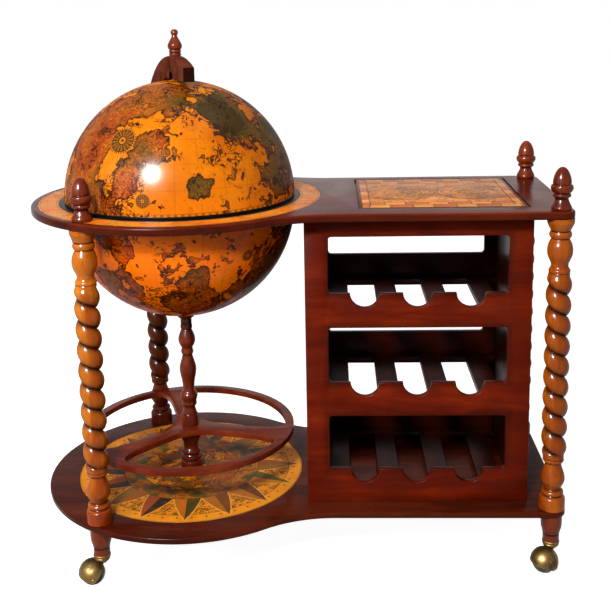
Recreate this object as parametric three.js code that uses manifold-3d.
// Floor globe bar: a globe on a round table that runs into a side table over a bottle rack.
// Millimetres, +Z up, the front faces -Y, and the origin is on the floor under the middle.
import * as THREE from 'three';
import { mergeVertices } from 'three/addons/utils/BufferGeometryUtils.js';
import Module from 'manifold-3d';

const wasm = await Module();
wasm.setup();

// Driving sizes of the table and the base, which share one outline
const tableLength = 910;
const discMargin = 12;
const wingDepth = 344;
const wingFillet = 200;
const cornerRadius = 22;
const tableTopZ = 626;
const tableThickness = 13;
const baseTopZ = 113;
const baseThickness = 11;
const inlayThickness = 1.5;
const baseInlayMargin = 9;

// The globe and its seat in the table
const globeRadius = 200;
const shellWall = 4;
const bowlCentreDrop = 11;
const bowlCollar = 6;
const rimFlangeWidth = 4;
const rimLip = 6;
const rimSleeve = 14;
const rimSleeveWall = 4.7;
const rimRise = 0.4;
const ringInlayWidth = 35;
const lidBandHeight = 4.1;
const lidGap = 0.5;
const lidEdgeRise = 1;
const tieRodRadius = 4;
const tieHeadRadius = 11;
const tieHeadHeight = 5.5;
const tieNutRadius = 9;
const tieNutHeight = 6;
const tieRodEnd = 3;

// The meridian arm, its hinge and its finial
const armThickness = 20;
const armClearance = 4.5;
const armDepth = 36.5;
const armReach = 85;
const archRadius = 13;
const kneeRadius = 16;
const hingeRise = 14;
const hingePinRadius = 4;
const hingeEar = 4;
const hingeBase = 1.5;
const hingeEarRadius = 12;
const hingeBaseLength = 26;
const pinHeadRadius = 6;
const pinHeadThickness = 1.5;
const poleBoltRadius = 3;
const poleBoltHeadRadius = 8;
const poleBoltHeadHeight = 4.4;
const poleBoltGrip = 12;
const polePlateRadius = 9;
const polePlateThickness = 1.2;
const poleFinialRadius = 12.2;
const poleFinialHeight = 45;

// Posts, finials, legs and casters
const postRadius = 22;
const postInset = 22;
const postInsetY = 21;
const frontPostAngle = 237;
const backPostAngle = 113;
const postFootHeight = 92;
const postHeadHeight = 91.5;
const twistRadius = 20.6;
const twistCoreRadius = 15.2;
const twistPitch = 35;
const twistRoundShare = 0.7;
const twistFadeRows = 3;
const finialRadius = 17.8;
const finialHeight = 69;
const legRadius = 17.6;
const legHeight = 48;
const socketRadius = 14.6;
const socketHeight = 4.7;
const stemRadius = 3.5;
const stemLength = 7.3;
const neckRadius = 13.9;
const neckHeight = 12.5;
const neckTipRadius = 5;
const wheelRadius = 20.6;
const axleTilt = 8;
const hoodBackMouth = 142;
const hoodFrontMouth = 75;
const hoodBackMouthShare = 0.2;
const hoodFrontMouthShare = 0.25;
const wheelHalfWidth = 14;
const wheelGap = 1.7;
const hoodWall = 1.6;
const casterTrail = 17;
const axleRadius = 2.1;
const rivetRadius = 3.6;
const rivetThickness = 1.2;
const casterHeadroom = 0.3;

// Column and bottle ring
const columnRadius = 15.6;
const columnCupRadius = 28;
const columnCupHeight = 16;
const columnFootRadius = 19.5;
const ringTopZ = 198;
const ringThickness = 10;
const ringPostGap = 22;
const ringRim = 15;
const spokeHalfWidth = 16;
const spokeWaist = 58;
const spokeFlareStart = 105;
const ringOpenings = 3;
const ringTurn = 47;
const openingArcShare = 0.77;

// Bottle rack cabinet and the map panel above it
const cabinetRingGap = 28;
const cabinetEndMargin = 60;
const cabinetFrontY = -132;
const cabinetDepth = 280;
const cabinetPanel = 12;
const cabinetSide = 18;
const stile = 38.5;
const rackOpening = 97;
const rackPitch = 155.5;
const rackTopMargin = 33;
const rackCorner = 6;
const notchRadius = 24;
const notchPitch = 88;
const slatDrop = 44;
const slatThickness = 12;
const slatGap = 50;
const slatSideGap = 19;
const slatRail = 20;
const panelRingGap = 66;
const panelEndMargin = 68;
const panelDepth = 268;
const panelThickness = 4;
const panelCentreY = 10;
const panelGap = 3;

// Bottle board inside the bowl
const boardDrop = 28;
const boardThickness = 8;
const bottleHoles = 3;
const bottleWeb = 19.4;
const boardWeb = 15;
const boardEdge = 13.4;
const glassHoles = 6;
const glassHoleRadius = 29;

// Clearances: a running gap between turned or curved pieces, and the overrun of a cutting tool
const gap = 0.3;
const boreGap = 0.5;
const overrun = 1;
const weldDistance = 1e-4;

// Counts
const roundSides = 36;
const turnedSides = 10;
const postSides = 8;
const smallSides = 12;
const hoodSides = 12;
const nutSides = 6;
const arcSteps = 6;
const spokeSteps = 8;
const cornerSteps = 4;
const rackLevels = 3;

// Turned outlines, bottom to top, as shares of the piece's radius and height
const postFootShares = [
  [0.98, 0], [0.98, 0.19], [0.9, 0.24], [0.7, 0.27], [0.82, 0.3], [0.82, 0.345], [0.62, 0.385],
  [0.74, 0.45], [0.9, 0.56], [0.87, 0.66], [0.66, 0.8], [0.6, 0.88], [0.78, 0.93], [0.78, 0.98],
];
const postHeadShares = [
  [0.78, 0.02], [0.78, 0.07], [0.63, 0.165], [0.78, 0.25], [0.91, 0.35], [0.91, 0.48], [0.86, 0.535],
  [0.67, 0.63], [0.8, 0.69], [0.8, 0.74], [0.72, 0.78], [0.86, 0.84], [0.99, 0.93], [0.99, 1],
];
const finialShares = [
  [0, 0], [0.84, 0], [0.92, 0.06], [0.72, 0.17], [0.6, 0.26], [0.81, 0.32], [0.81, 0.37], [0.7, 0.4],
  [0.92, 0.46], [1, 0.52], [0.96, 0.57], [0.8, 0.6], [0.82, 0.67], [0.74, 0.78], [0.56, 0.89],
  [0.3, 0.97], [0, 1],
];
const poleFinialShares = [
  [0, 0], [0.82, 0], [0.82, 0.1], [0.76, 0.13], [0.86, 0.17], [0.78, 0.23], [0.96, 0.3], [1, 0.38],
  [0.93, 0.47], [0.7, 0.58], [0.45, 0.69], [0.38, 0.78], [0.5, 0.88], [0.42, 0.96], [0, 1],
];
const cupShares = [[0.5, 0.1], [0.92, 0.6]];
const neckShares = [[0.93, 0.6], [1, 0.8], [1, 0.9], [0.94, 1]];
const socketShares = [[0.93, 0], [1, 0.25], [1, 0.7], [0.93, 1]];
const legShares = [
  [0, 0], [0.77, 0], [0.79, 0.3], [0.84, 0.34], [0.97, 0.52], [1, 0.68], [1, 1], [0, 1],
];
const columnUpperShares = [
  [0.95, 0], [0.95, 0.11], [0.8, 0.135], [0.67, 0.17], [0.85, 0.205], [0.85, 0.235], [1, 0.285],
  [0.78, 0.325], [0.65, 0.355], [0.72, 0.42], [0.92, 0.49], [0.97, 0.53], [0.86, 0.59], [0.56, 0.665],
  [0.7, 0.7], [0.67, 0.745], [0.85, 0.775], [0.98, 0.81], [0.85, 0.86], [0.6, 0.905], [0.66, 0.93],
];
const columnLowerShares = [
  [1, 0], [1, 0.22], [0.85, 0.25], [0.95, 0.3], [0.95, 0.34], [0.76, 0.39], [0.85, 0.44], [0.85, 0.49],
  [0.67, 0.56], [0.67, 0.64], [0.78, 0.74], [0.94, 0.82], [0.94, 1],
];

const colours = {
  tableWood: 0x3a140d, mahogany: 0x6b2414, redWood: 0x5e2113, postWood: 0xa0480f, armWood: 0x45231a,
  print: 0xd9771e, black: 0x0d0c0c, brass: 0x8d6b33, wheel: 0x141414, dark: 0x1c1512,
};

// Radii from the globe outwards, and lengths along the wing
const rimOuterRadius = globeRadius + rimSleeveWall + gap + boreGap + rimFlangeWidth;
const tableHoleRadius = rimOuterRadius - rimFlangeWidth + boreGap;
const rebateRadius = rimOuterRadius + boreGap;
const ringInlayOuter = rebateRadius + ringInlayWidth;
const discRadius = ringInlayOuter + discMargin;
const postRing = discRadius - postInset;
const baseInlayRadius = postRing - postRadius - baseInlayMargin;
const ringRadius = postRing - postRadius - ringPostGap;
const armInnerRadius = globeRadius + armClearance;
const armOuterRadius = armInnerRadius + armDepth;
const wingRight = tableLength - discRadius;
const cabinetLeft = ringRadius + cabinetRingGap;
const cabinetRight = wingRight - cabinetEndMargin;
const panelLeft = ringInlayOuter + panelRingGap;
const panelWidth = wingRight - panelEndMargin - panelLeft;

const globeX = discRadius - tableLength / 2;
const model = new THREE.Group();
const about = new THREE.Group();
about.position.x = globeX;
model.add(about);

function add(name, geometry, colour, parent = about, finish = [0.35, 0]) {
  const [roughness, metalness] = finish;
  const material = new THREE.MeshStandardMaterial({ color: colour, roughness, metalness });
  const mesh = new THREE.Mesh(geometry, material);
  mesh.name = name;
  parent.add(mesh);
  return mesh;
}

// Solids for joins and cuts
function solid(geometry) {
  const bare = geometry.clone();
  bare.deleteAttribute('normal');
  bare.deleteAttribute('uv');
  const merged = mergeVertices(bare, weldDistance);
  const vertProperties = Float32Array.from(merged.attributes.position.array);
  const triVerts = Uint32Array.from(merged.index.array);
  return new wasm.Manifold(new wasm.Mesh({ numProp: 3, vertProperties, triVerts }));
}

function toGeometry(manifold) {
  const mesh = manifold.getMesh();
  const geometry = new THREE.BufferGeometry();
  geometry.setAttribute('position', new THREE.BufferAttribute(Float32Array.from(mesh.vertProperties), 3));
  geometry.setIndex(new THREE.BufferAttribute(Uint32Array.from(mesh.triVerts), 1));
  return geometry;
}

function cut(geometry, tools) {
  let body = solid(geometry);
  for (const tool of tools) body = body.subtract(solid(tool));
  return toGeometry(body);
}

function join(geometries) {
  let body = solid(geometries[0]);
  for (const other of geometries.slice(1)) body = body.add(solid(other));
  return toGeometry(body);
}

// Shapes that many pieces use
function radians(degrees) {
  return THREE.MathUtils.degToRad(degrees);
}

function arc(x, y, radius, from, to, steps) {
  const points = [];
  for (let i = 0; i <= steps; i += 1) {
    const angle = from + ((to - from) * i) / steps;
    points.push(new THREE.Vector2(x + radius * Math.cos(angle), y + radius * Math.sin(angle)));
  }
  return points;
}

function circle(x, y, radius, sides) {
  return arc(x, y, radius, 0, 2 * Math.PI, sides).slice(0, -1);
}

function turned(points, sides) {
  const outline = points.map(([r, z]) => new THREE.Vector2(r, z));
  return new THREE.LatheGeometry(outline, sides).rotateX(Math.PI / 2);
}

function turnedShares(shares, radius, height, bottom, sides) {
  return turned(shares.map(([r, z]) => [r * radius, bottom + z * height]), sides);
}

function rod(radius, bottom, top, sides) {
  return turned([[0, bottom], [radius, bottom], [radius, top], [0, top]], sides);
}

function slab(shape, bottom, thickness) {
  const geometry = new THREE.ExtrudeGeometry(shape, { depth: thickness, bevelEnabled: false });
  return geometry.translate(0, 0, bottom);
}

function upright(shape, frontY, thickness) {
  const geometry = new THREE.ExtrudeGeometry(shape, { depth: thickness, bevelEnabled: false });
  return geometry.rotateX(Math.PI / 2).translate(0, frontY + thickness, 0);
}

function block(x0, x1, y0, y1, z0, z1) {
  const geometry = new THREE.BoxGeometry(x1 - x0, y1 - y0, z1 - z0);
  return geometry.translate((x0 + x1) / 2, (y0 + y1) / 2, (z0 + z1) / 2);
}

// Heights that several pieces share
const tableBottomZ = tableTopZ - tableThickness;
const baseBottomZ = baseTopZ - baseThickness;
const bowlCentreZ = tableTopZ - bowlCentreDrop;
const bowlTopZ = bowlCentreZ + bowlCollar;
const rimTopZ = tableTopZ + rimRise;
const lidBottomZ = rimTopZ + lidGap + lidBandHeight;
const lidCentreZ = lidBottomZ - lidEdgeRise;
const rodBore = tieRodRadius + boreGap;

// How far a faceted shell's chords stand off its true curve, left free under the bolt heads
const shellSag = globeRadius * (1 - Math.cos(Math.PI / (4 * arcSteps)));

// Table top and base plate: a disc that runs through concave fillets into a rectangle
function plateOutline() {
  const half = wingDepth / 2;
  const filletX = Math.sqrt((discRadius + wingFillet) ** 2 - (half + wingFillet) ** 2);
  const turn = Math.atan2(half + wingFillet, filletX);
  const cornerX = wingRight - cornerRadius;
  const cornerY = half - cornerRadius;
  const points = [
    ...arc(0, 0, discRadius, turn, 2 * Math.PI - turn, roundSides),
    ...arc(filletX, -half - wingFillet, wingFillet, Math.PI - turn, Math.PI / 2, arcSteps).slice(1),
    ...arc(cornerX, -cornerY, cornerRadius, -Math.PI / 2, 0, cornerSteps),
    ...arc(cornerX, cornerY, cornerRadius, 0, Math.PI / 2, cornerSteps),
    ...arc(filletX, half + wingFillet, wingFillet, -Math.PI / 2, turn - Math.PI, arcSteps).slice(0, -1),
  ];
  return new THREE.Shape(points);
}

const panelFrontY = panelCentreY - panelDepth / 2;

function tableTop() {
  const pocket = block(
    panelLeft - panelGap, panelLeft + panelWidth + panelGap,
    panelFrontY - panelGap, panelFrontY + panelDepth + panelGap,
    tableTopZ - panelThickness, tableTopZ + overrun,
  );
  return cut(slab(plateOutline(), tableBottomZ, tableThickness), [
    rod(tableHoleRadius, tableBottomZ - overrun, tableTopZ + overrun, roundSides),
    rod(rebateRadius, bowlTopZ, tableTopZ + overrun, roundSides),
    rod(ringInlayOuter + gap, tableTopZ - inlayThickness, tableTopZ + overrun, roundSides),
    pocket,
  ]);
}

function ringOf(inner, outer, bottom, top) {
  return turned([[inner, bottom], [outer, bottom], [outer, top], [inner, top], [inner, bottom]], roundSides);
}

add('table_top', tableTop(), colours.tableWood);
const inlayBottomZ = tableTopZ - inlayThickness;
add('table_ring_inlay', ringOf(rebateRadius, ringInlayOuter, inlayBottomZ, tableTopZ), colours.print);
add('map_panel', block(
  panelLeft, panelLeft + panelWidth, panelFrontY, panelFrontY + panelDepth,
  tableTopZ - panelThickness, tableTopZ,
), colours.print);

add('base_plate', cut(slab(plateOutline(), baseBottomZ, baseThickness), [
  rod(baseInlayRadius + gap, baseTopZ - inlayThickness, baseTopZ + overrun, roundSides),
  rod(rodBore, baseBottomZ - overrun, baseTopZ + overrun, turnedSides),
]), colours.tableWood);
add('base_inlay', ringOf(rodBore, baseInlayRadius, baseTopZ - inlayThickness, baseTopZ), colours.print);

// Bowl, its seat ring, the lid and its band
function ball(radius, centreZ, fromAngle, toAngle, steps) {
  return arc(0, centreZ, radius, fromAngle, toAngle, steps).map((p) => [p.x, p.y]);
}

function bowl() {
  const inner = globeRadius - shellWall;
  const outerTurn = Math.acos(rodBore / globeRadius);
  const innerTurn = Math.acos(rodBore / inner);
  return turned([
    ...ball(globeRadius, bowlCentreZ, -outerTurn, 0, arcSteps),
    [globeRadius, bowlTopZ],
    [inner, bowlTopZ],
    ...ball(inner, bowlCentreZ, 0, -innerTurn, arcSteps),
    [rodBore, bowlCentreZ - globeRadius * Math.sin(outerTurn)],
  ], roundSides);
}

function lid() {
  const inner = globeRadius - shellWall;
  const bore = poleBoltRadius + boreGap;
  const rise = lidBottomZ - lidCentreZ;
  const outerStart = Math.asin(rise / globeRadius);
  const innerStart = Math.asin(rise / inner);
  const bottomRadius = globeRadius * Math.cos(outerStart);
  return turned([
    [bottomRadius, lidBottomZ],
    ...ball(globeRadius, lidCentreZ, outerStart, Math.acos(bore / globeRadius), arcSteps).slice(1),
    ...ball(inner, lidCentreZ, Math.acos(bore / inner), innerStart, arcSteps),
    [bottomRadius, lidBottomZ],
  ], roundSides);
}

function rimRing() {
  const sleeveInner = globeRadius + gap;
  const sleeveOuter = sleeveInner + rimSleeveWall;
  const lip = globeRadius - rimLip;
  return turned([
    [sleeveInner, bowlTopZ - rimSleeve], [sleeveOuter, bowlTopZ - rimSleeve], [sleeveOuter, bowlTopZ],
    [rimOuterRadius, bowlTopZ], [rimOuterRadius, rimTopZ], [lip, rimTopZ], [lip, bowlTopZ],
    [sleeveInner, bowlTopZ], [sleeveInner, bowlTopZ - rimSleeve],
  ], roundSides);
}

add('bowl_rim_ring', rimRing(), colours.black);
add('globe_bowl', bowl(), colours.print);
add('globe_lid', lid(), colours.print);
const bandBottomZ = lidBottomZ - lidBandHeight;
add('lid_edge_band', ringOf(globeRadius - shellWall, globeRadius, bandBottomZ, lidBottomZ), colours.black);

// Board with bottle and glass holes, resting on the bowl's wall
function bottleBoard() {
  const topZ = tableTopZ - boardDrop;
  const bottomZ = topZ - boardThickness;
  const inner = globeRadius - shellWall;
  const radius = Math.sqrt(inner ** 2 - (bowlCentreZ - bottomZ) ** 2) - shellSag - gap;
  const glassHoleRing = radius - boardEdge - glassHoleRadius;
  const bottleReach = glassHoleRing - glassHoleRadius - boardWeb;
  const bottleTurn = Math.sin(Math.PI / bottleHoles);
  const bottleHoleRadius = (bottleReach - bottleWeb / 2 / bottleTurn) / (1 + 1 / bottleTurn);
  const bottleHoleRing = bottleReach - bottleHoleRadius;
  const shape = new THREE.Shape(circle(0, 0, radius, roundSides));
  const addHoles = (count, ring, holeRadius, start) => {
    for (let i = 0; i < count; i += 1) {
      const angle = start + (2 * Math.PI * i) / count;
      const [x, y] = [ring * Math.cos(angle), ring * Math.sin(angle)];
      shape.holes.push(new THREE.Path(circle(x, y, holeRadius, smallSides)));
    }
  };
  addHoles(bottleHoles, bottleHoleRing, bottleHoleRadius, Math.PI / 2);
  addHoles(glassHoles, glassHoleRing, glassHoleRadius, Math.PI / glassHoles);
  return slab(shape, bottomZ, boardThickness);
}

add('bottle_board', bottleBoard(), colours.dark);

// Meridian arm: drawn in its own upright plane, then turned to the back left post
const arm = new THREE.Group();
arm.rotation.z = radians(backPostAngle);
about.add(arm);
const lidTopZ = lidCentreZ + globeRadius;
const armBottomZ = lidTopZ + gap + polePlateThickness + gap;
const kneeTurn = Math.asin(hingeRise / (armOuterRadius - kneeRadius));
const hingeX = (armOuterRadius - kneeRadius) * Math.cos(kneeTurn);
const hingeZ = lidCentreZ + hingeRise;
const armBoltTopZ = armBottomZ + archRadius + poleBoltGrip;

function meridianArm() {
  const innerStart = Math.asin((armBottomZ - lidCentreZ) / armInnerRadius);
  const innerEnd = kneeTurn + kneeRadius / armInnerRadius * 2;
  const outerEnd = Math.acos(-armReach / armOuterRadius);
  const points = [
    new THREE.Vector2(-armReach, armBottomZ),
    ...arc(0, armBottomZ, archRadius, Math.PI, 0, arcSteps),
    ...arc(0, lidCentreZ, armInnerRadius, innerStart, innerEnd, 2 * arcSteps),
    ...arc(hingeX, hingeZ, kneeRadius, Math.PI, 2 * Math.PI + kneeTurn, arcSteps),
    ...arc(0, lidCentreZ, armOuterRadius, kneeTurn, outerEnd, 2 * arcSteps).slice(1),
  ];
  const body = upright(new THREE.Shape(points), -armThickness / 2, armThickness);
  const pinBore = rod(hingePinRadius + boreGap, -armThickness, armThickness, smallSides);
  return cut(body, [
    pinBore.rotateX(Math.PI / 2).translate(hingeX, 0, hingeZ),
    rod(poleBoltRadius + boreGap, armBottomZ - overrun, armBoltTopZ + gap, turnedSides),
  ]);
}

function hingeBracket() {
  const left = hingeX - hingeBaseLength / 2;
  const half = armThickness / 2 + gap + hingeEar;
  const baseZ = tableTopZ + hingeBase;
  const points = [
    new THREE.Vector2(left, tableTopZ),
    new THREE.Vector2(left + hingeBaseLength, tableTopZ),
    new THREE.Vector2(left + hingeBaseLength, baseZ),
    ...arc(hingeX, hingeZ, hingeEarRadius, 0, Math.PI, arcSteps),
    new THREE.Vector2(left, baseZ),
  ];
  const body = upright(new THREE.Shape(points), -half, 2 * half);
  const bore = rod(hingePinRadius + boreGap, -armThickness, armThickness, smallSides);
  return cut(body, [
    block(
      left - overrun, left + hingeBaseLength + overrun, -armThickness / 2 - gap, armThickness / 2 + gap,
      baseZ, hingeZ + 2 * hingeEarRadius,
    ),
    bore.rotateX(Math.PI / 2).translate(hingeX, 0, hingeZ),
  ]);
}

function hingePin() {
  const half = armThickness / 2 + hingeEar + 2 * gap;
  const end = half + pinHeadThickness;
  return turned([
    [0, -end], [pinHeadRadius, -end], [pinHeadRadius, -half], [hingePinRadius, -half],
    [hingePinRadius, half], [pinHeadRadius, half], [pinHeadRadius, end], [0, end],
  ], smallSides).rotateX(Math.PI / 2).translate(hingeX, 0, hingeZ);
}

function poleBolt() {
  const inner = globeRadius - shellWall;
  const headTop = lidCentreZ + Math.sqrt(inner ** 2 - poleBoltHeadRadius ** 2) - shellSag - gap;
  return turned([
    [0, headTop - poleBoltHeadHeight], [poleBoltHeadRadius, headTop - poleBoltHeadHeight],
    [poleBoltHeadRadius, headTop], [poleBoltRadius, headTop], [poleBoltRadius, armBoltTopZ], [0, armBoltTopZ],
  ], turnedSides);
}

const plateBottomZ = lidTopZ + gap;
add('meridian_arm', meridianArm(), colours.armWood, arm);
add('hinge_bracket', hingeBracket(), colours.brass, arm, [0.4, 1]);
add('hinge_pin', hingePin(), colours.brass, arm, [0.35, 1]);
add('pole_bolt', poleBolt(), colours.brass, arm, [0.35, 1]);
add('pole_plate', turned([
  [poleBoltRadius + boreGap, plateBottomZ], [polePlateRadius, plateBottomZ],
  [polePlateRadius, plateBottomZ + polePlateThickness],
  [poleBoltRadius + boreGap, plateBottomZ + polePlateThickness], [poleBoltRadius + boreGap, plateBottomZ],
], smallSides), colours.brass, arm, [0.45, 1]);
add('pole_finial', turnedShares(
  poleFinialShares, poleFinialRadius, poleFinialHeight, lidCentreZ + armOuterRadius + gap, smallSides,
), colours.redWood, arm);

// Column: two turned lengths with the bottle ring between them, drawn together by a tie rod
const ringBottomZ = ringTopZ - ringThickness;
const bowlBottomZ = bowlCentreZ - globeRadius;
const cupTopZ = bowlCentreZ - Math.sqrt((globeRadius + gap) ** 2 - columnCupRadius ** 2);
const columnTopZ = cupTopZ - columnCupHeight;

function bored(outline, bore) {
  const bottom = outline[0][1];
  const top = outline[outline.length - 1][1];
  return turned([[bore, bottom], ...outline, [bore, top], [bore, bottom]], smallSides);
}

function columnUpper() {
  const height = columnTopZ - ringTopZ;
  const seat = globeRadius + gap;
  const outline = columnUpperShares.map(([r, z]) => [r * columnRadius, ringTopZ + z * height]);
  const cup = [
    ...cupShares.map(([r, z]) => [r * columnCupRadius, columnTopZ + z * columnCupHeight]),
    [columnCupRadius, cupTopZ - gap],
    [columnCupRadius, cupTopZ],
    [columnCupRadius / 2, bowlCentreZ - Math.sqrt(seat ** 2 - (columnCupRadius / 2) ** 2)],
    [rodBore, bowlCentreZ - Math.sqrt(seat ** 2 - rodBore ** 2)],
    [rodBore, ringTopZ],
  ];
  return turned([[rodBore, ringTopZ], ...outline, ...cup], smallSides);
}

function columnLower() {
  const height = ringBottomZ - baseTopZ;
  return bored(columnLowerShares.map(([r, z]) => [r * columnFootRadius, baseTopZ + z * height]), rodBore);
}

// One bottle opening of the ring, drawn round +X and turned into place
function ringOpening(turn) {
  const inner = ringRadius - ringRim;
  const spokeTurn = Math.PI / ringOpenings;
  const reach = openingArcShare * spokeTurn;
  const along = new THREE.Vector2(Math.cos(spokeTurn), Math.sin(spokeTurn));
  const side = new THREE.Vector2(along.y, -along.x).multiplyScalar(spokeHalfWidth);
  const spokePoint = (distance) => along.clone().multiplyScalar(distance).add(side);
  const rimEnd = new THREE.Vector2(inner * Math.cos(reach), inner * Math.sin(reach));
  const flare = new THREE.QuadraticBezierCurve(rimEnd, spokePoint(inner), spokePoint(spokeFlareStart));
  const waist = spokePoint(spokeWaist);
  const mirror = (p) => new THREE.Vector2(p.x, -p.y);
  const heart = new THREE.Vector2(spokeHalfWidth / along.y, 0);
  const hub = new THREE.QuadraticBezierCurve(waist, heart, mirror(waist));
  const upper = flare.getPoints(spokeSteps).slice(1);
  const points = [
    ...arc(0, 0, inner, -reach, reach, 2 * arcSteps),
    ...upper,
    ...hub.getPoints(spokeSteps),
    ...upper.slice(0, -1).reverse().map(mirror),
  ];
  const lastFlare = mirror(spokePoint(spokeFlareStart));
  points.splice(2 * arcSteps + 1 + upper.length + spokeSteps + 1, 0, lastFlare);
  return new THREE.Path(points.map((p) => p.rotateAround(new THREE.Vector2(0, 0), turn)));
}

function bottleRing() {
  const shape = new THREE.Shape(circle(0, 0, ringRadius, roundSides));
  shape.holes.push(new THREE.Path(circle(0, 0, rodBore, turnedSides)));
  for (let i = 0; i < ringOpenings; i += 1) {
    shape.holes.push(ringOpening(radians(ringTurn) + (2 * Math.PI * i) / ringOpenings));
  }
  return slab(shape, ringBottomZ, ringThickness);
}

function tieRod() {
  const inner = globeRadius - shellWall;
  const seatZ = bowlCentreZ - Math.sqrt(inner ** 2 - tieHeadRadius ** 2) + shellSag + gap;
  const end = baseBottomZ - tieNutHeight - tieRodEnd;
  return turned([
    [0, end], [tieRodRadius, end], [tieRodRadius, seatZ], [tieHeadRadius, seatZ],
    [tieHeadRadius, seatZ + tieHeadHeight], [0, seatZ + tieHeadHeight],
  ], turnedSides);
}

add('column_upper', columnUpper(), colours.redWood);
add('column_lower', columnLower(), colours.redWood);
add('bottle_ring', bottleRing(), colours.tableWood);
add('tie_rod', tieRod(), colours.brass, about, [0.4, 1]);
const nutBottomZ = baseBottomZ - tieNutHeight;
const nut = cut(rod(tieNutRadius, nutBottomZ, baseBottomZ, nutSides), [
  rod(rodBore, nutBottomZ - overrun, baseBottomZ + overrun, turnedSides),
]);
add('tie_nut', nut, colours.brass, about, [0.4, 1]);

// Barley-twist posts: turned foot and head with a left-hand single twist between them
function twistedPost() {
  const rings = [];
  const around = (radiusAt, z) => {
    const ring = [];
    for (let j = 0; j < postSides; j += 1) {
      const angle = (2 * Math.PI * j) / postSides;
      const radius = radiusAt(angle);
      ring.push([radius * Math.cos(angle), radius * Math.sin(angle), z]);
    }
    rings.push(ring);
  };
  const twistBottom = baseTopZ + postFootHeight;
  const twistTop = tableBottomZ - postHeadHeight;
  for (const [r, z] of postFootShares) around(() => r * postRadius, baseTopZ + z * postFootHeight);
  const step = twistPitch / postSides;
  const rows = Math.floor((twistTop - twistBottom) / step);
  for (let i = 1; i < rows; i += 1) {
    const z = twistBottom + i * step;
    const fade = Math.min(1, i / twistFadeRows, (rows - i) / twistFadeRows);
    around((angle) => {
      const phase = (z - twistBottom) / twistPitch + angle / (2 * Math.PI);
      const lobe = Math.abs(Math.sin(Math.PI * phase)) ** twistRoundShare;
      return twistCoreRadius + ((twistRadius - twistCoreRadius) * (1 + (2 * lobe - 1) * fade)) / 2;
    }, z);
  }
  for (const [r, z] of postHeadShares) around(() => r * postRadius, twistTop + z * postHeadHeight);
  return skin(rings);
}

// Closed skin through rings of points, bottom to top, with a flat cap at each end
function skin(rings) {
  const sides = rings[0].length;
  const positions = rings.flat(2);
  const index = [];
  for (let i = 0; i + 1 < rings.length; i += 1) {
    for (let j = 0; j < sides; j += 1) {
      const a = i * sides + j;
      const b = i * sides + ((j + 1) % sides);
      index.push(a, b, a + sides, b, b + sides, a + sides);
    }
  }
  const last = rings.length - 1;
  positions.push(0, 0, rings[0][0][2], 0, 0, rings[last][0][2]);
  const bottomCentre = rings.length * sides;
  for (let j = 0; j < sides; j += 1) {
    const next = (j + 1) % sides;
    index.push(bottomCentre, next, j, bottomCentre + 1, last * sides + j, last * sides + next);
  }
  const geometry = new THREE.BufferGeometry();
  geometry.setAttribute('position', new THREE.BufferAttribute(Float32Array.from(positions), 3));
  geometry.setIndex(index);
  return geometry;
}

const wingPostX = wingRight - postInset;
const wingPostY = wingDepth / 2 - postInsetY;
const polar = (angle) => [postRing * Math.cos(radians(angle)), postRing * Math.sin(radians(angle))];
const corners = {
  front_left: { at: polar(frontPostAngle), finial: true, swivel: 194 },
  back_left: { at: polar(backPostAngle), finial: false, swivel: 150 },
  front_right: { at: [wingPostX, -wingPostY], finial: true, swivel: 224 },
  back_right: { at: [wingPostX, wingPostY], finial: true, swivel: 205 },
};

for (const [corner, { at, finial, swivel }] of Object.entries(corners)) {
  const stand = new THREE.Group();
  stand.position.set(at[0], at[1], 0);
  about.add(stand);
  add(`post_${corner}`, twistedPost(), colours.postWood, stand, [0.25, 0]);
  if (finial) {
    const top = turnedShares(finialShares, finialRadius, finialHeight, tableTopZ, turnedSides);
    add(`finial_${corner}`, top, colours.redWood, stand);
  }
  const leg = turnedShares(legShares, legRadius, legHeight, baseBottomZ - legHeight, turnedSides);
  add(`leg_${corner}`, leg, colours.redWood, stand);
  addCaster(corner, stand, swivel);
}

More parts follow.
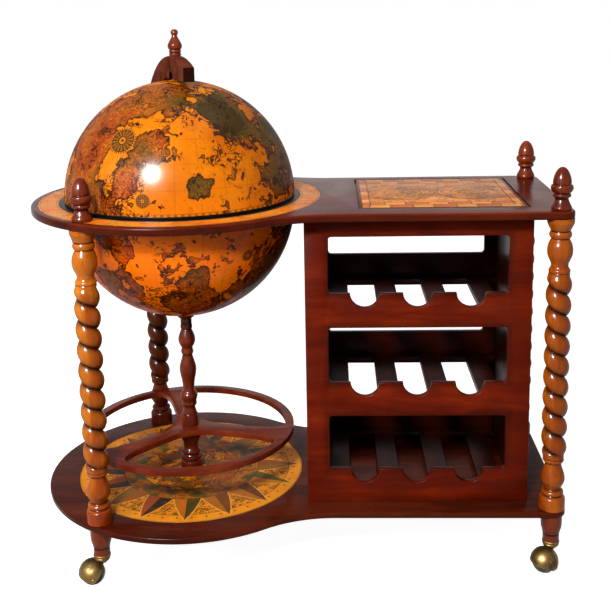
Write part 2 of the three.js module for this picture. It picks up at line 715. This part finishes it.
// Hooded ball caster: a socket on the leg, a brass hood that swivels, and a wheel on a sloping axle
function addCaster(corner, stand, swivel) {
  const topZ = baseBottomZ - legHeight;
  const socketZ = topZ - socketHeight;
  const neckTop = socketZ - casterHeadroom;
  const neckBottom = neckTop - neckHeight;
  const tilt = radians(axleTilt);
  const caster = new THREE.Group();
  caster.rotation.z = radians(swivel);
  stand.add(caster);
  const axle = new THREE.Vector3(0, Math.cos(tilt), -Math.sin(tilt));
  const toAxle = (geometry) => {
    const turn = new THREE.Matrix4().makeBasis(
      new THREE.Vector3(1, 0, 0), new THREE.Vector3(0, -Math.sin(tilt), -Math.cos(tilt)), axle,
    );
    return geometry.applyMatrix4(turn).translate(casterTrail, 0, wheelRadius);
  };
  const hoodInner = wheelRadius + wheelGap;
  const hoodOuter = hoodInner + hoodWall;
  const sphere = (radius, sides) => toAxle(turned(
    arc(0, 0, radius, -Math.PI / 2, Math.PI / 2, sides / 2).map((p, i, all) => (
      [i === 0 || i === all.length - 1 ? 0 : p.x, p.y])),
    sides,
  ));
  // The hood's mouth is two planes along the axle, one under the leg and one under the far side
  const mouth = (angle, distance) => {
    const size = 3 * hoodOuter;
    const tool = new THREE.BoxGeometry(size, size, size).translate(distance + size / 2, 0, 0);
    return toAxle(tool.rotateZ(radians(angle)));
  };
  const shell = cut(sphere(hoodOuter, hoodSides), [
    mouth(hoodBackMouth, hoodOuter * hoodBackMouthShare),
    mouth(hoodFrontMouth, hoodOuter * hoodFrontMouthShare),
  ]);
  const neck = turned([
    [0, neckBottom], [neckTipRadius, neckBottom],
    ...neckShares.map(([r, z]) => [r * neckRadius, neckBottom + z * neckHeight]),
    [0, neckTop],
  ], turnedSides);
  const axleTool = toAxle(rod(axleRadius + gap, -2 * hoodOuter, 2 * hoodOuter, turnedSides));
  const hood = cut(join([shell, neck]), [
    sphere(hoodInner, hoodSides),
    axleTool,
    rod(stemRadius + boreGap, socketZ - stemLength - gap, topZ, turnedSides),
  ]);
  add(`caster_socket_${corner}`, turned([
    [0, socketZ - stemLength], [stemRadius, socketZ - stemLength], [stemRadius, socketZ],
    ...socketShares.map(([r, z]) => [r * socketRadius, socketZ + z * socketHeight]), [0, topZ],
  ], turnedSides), colours.brass, stand, [0.35, 1]);
  add(`caster_hood_${corner}`, hood, colours.brass, caster, [0.35, 1]);
  const edge = Math.asin(wheelHalfWidth / wheelRadius);
  const tread = [-edge, -edge / 2, 0, tilt, (tilt + edge) / 2, edge].map((angle) => (
    [wheelRadius * Math.cos(angle), wheelRadius * Math.sin(angle)]));
  const bore = axleRadius + boreGap;
  const wheel = turned([
    [bore, -wheelHalfWidth], ...tread, [bore, wheelHalfWidth], [bore, -wheelHalfWidth],
  ], smallSides);
  add(`caster_wheel_${corner}`, toAxle(wheel), colours.wheel, caster, [0.5, 0]);
  const half = hoodOuter + gap;
  const end = half + rivetThickness;
  add(`caster_axle_${corner}`, toAxle(turned([
    [0, -end], [rivetRadius, -end], [rivetRadius, -half], [axleRadius, -half],
    [axleRadius, half], [rivetRadius, half], [rivetRadius, end], [0, end],
  ], turnedSides)), colours.brass, caster, [0.35, 1]);
}

// Bottle rack cabinet between the base and the table
const cabinetBackY = cabinetFrontY + cabinetDepth;
const sideFrontY = cabinetFrontY + cabinetPanel;
const sideBackY = cabinetBackY - cabinetPanel;
const rackLeft = cabinetLeft + stile;
const rackRight = cabinetRight - stile;
const rackMiddle = (cabinetLeft + cabinetRight) / 2;
const bottlesPerLevel = Math.floor((rackRight - rackLeft) / notchPitch);
const levelBottom = (level) => tableBottomZ - rackTopMargin - rackOpening - level * rackPitch;

function rackHole(level, notched) {
  const bottom = levelBottom(level);
  const top = bottom + rackOpening;
  const cornersOf = [
    [rackRight - rackCorner, bottom + rackCorner, -Math.PI / 2, 0],
    [rackRight - rackCorner, top - rackCorner, 0, Math.PI / 2],
    [rackLeft + rackCorner, top - rackCorner, Math.PI / 2, Math.PI],
    [rackLeft + rackCorner, bottom + rackCorner, -Math.PI, -Math.PI / 2],
  ];
  const points = cornersOf.flatMap(([x, z, from, to]) => arc(x, z, rackCorner, from, to, cornerSteps));
  for (let bottle = 0; notched && bottle < bottlesPerLevel; bottle += 1) {
    const x = rackMiddle + (bottle - (bottlesPerLevel - 1) / 2) * notchPitch;
    points.push(...arc(x, bottom, notchRadius, Math.PI, 2 * Math.PI, spokeSteps));
  }
  return new THREE.Path(points);
}

function rackPanel(frontY, notched) {
  const shape = new THREE.Shape([
    new THREE.Vector2(cabinetLeft, baseTopZ), new THREE.Vector2(cabinetRight, baseTopZ),
    new THREE.Vector2(cabinetRight, tableBottomZ), new THREE.Vector2(cabinetLeft, tableBottomZ),
  ]);
  for (let level = 0; level < rackLevels; level += 1) shape.holes.push(rackHole(level, notched));
  return upright(shape, frontY, cabinetPanel);
}

// A shelf is four slats on a front and a back rail, and a bottle lies in the gap between two slats
function rackShelf(level) {
  const left = cabinetLeft + cabinetSide;
  const right = cabinetRight - cabinetSide;
  const topZ = levelBottom(level) - slatDrop;
  const bottomZ = topZ - slatThickness;
  const opening = (x0, x1) => block(
    x0, x1, sideFrontY + slatRail, sideBackY - slatRail, bottomZ - overrun, topZ + overrun,
  );
  const openings = [
    opening(left - overrun, left + slatSideGap),
    opening(right - slatSideGap, right + overrun),
  ];
  for (let bottle = 0; bottle < bottlesPerLevel; bottle += 1) {
    const x = rackMiddle + (bottle - (bottlesPerLevel - 1) / 2) * notchPitch;
    openings.push(opening(x - slatGap / 2, x + slatGap / 2));
  }
  return cut(block(left, right, sideFrontY, sideBackY, bottomZ, topZ), openings);
}

const sidePanel = (left) => block(left, left + cabinetSide, sideFrontY, sideBackY, baseTopZ, tableBottomZ);
add('rack_front_panel', rackPanel(cabinetFrontY, true), colours.mahogany);
add('rack_back_panel', rackPanel(sideBackY, false), colours.mahogany);
add('rack_side_left', sidePanel(cabinetLeft), colours.mahogany);
add('rack_side_right', sidePanel(cabinetRight - cabinetSide), colours.mahogany);
for (const [level, name] of ['top', 'middle', 'bottom'].entries()) {
  add(`rack_shelf_${name}`, rackShelf(level), colours.mahogany);
}

export default model;
